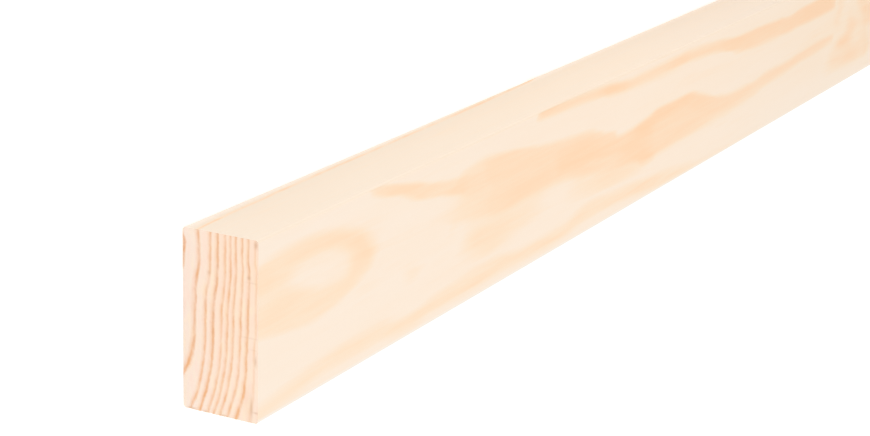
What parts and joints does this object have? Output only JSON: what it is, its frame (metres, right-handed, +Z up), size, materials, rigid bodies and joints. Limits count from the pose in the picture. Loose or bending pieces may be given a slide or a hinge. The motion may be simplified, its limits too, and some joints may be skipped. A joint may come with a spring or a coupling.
{
  "type": "timber lumber plank",
  "caption": "Straight planed softwood plank of rectangular section, with eased long edges and square-sawn ends.",
  "frame": {"origin": "middle of the underside, the wide face that lies on the floor", "axes": "+X along the grain, with the end seen in the picture at -X; +Y across the wide face; +Z up through the thickness, out of the wide face that the picture shows"},
  "size_m": [2.4, 0.095, 0.044],
  "materials": {
    "planed_softwood": "planed, unfinished"
  },
  "bodies": {
    "root": {"plank": "planed_softwood"}
  },
  "joints": []
}
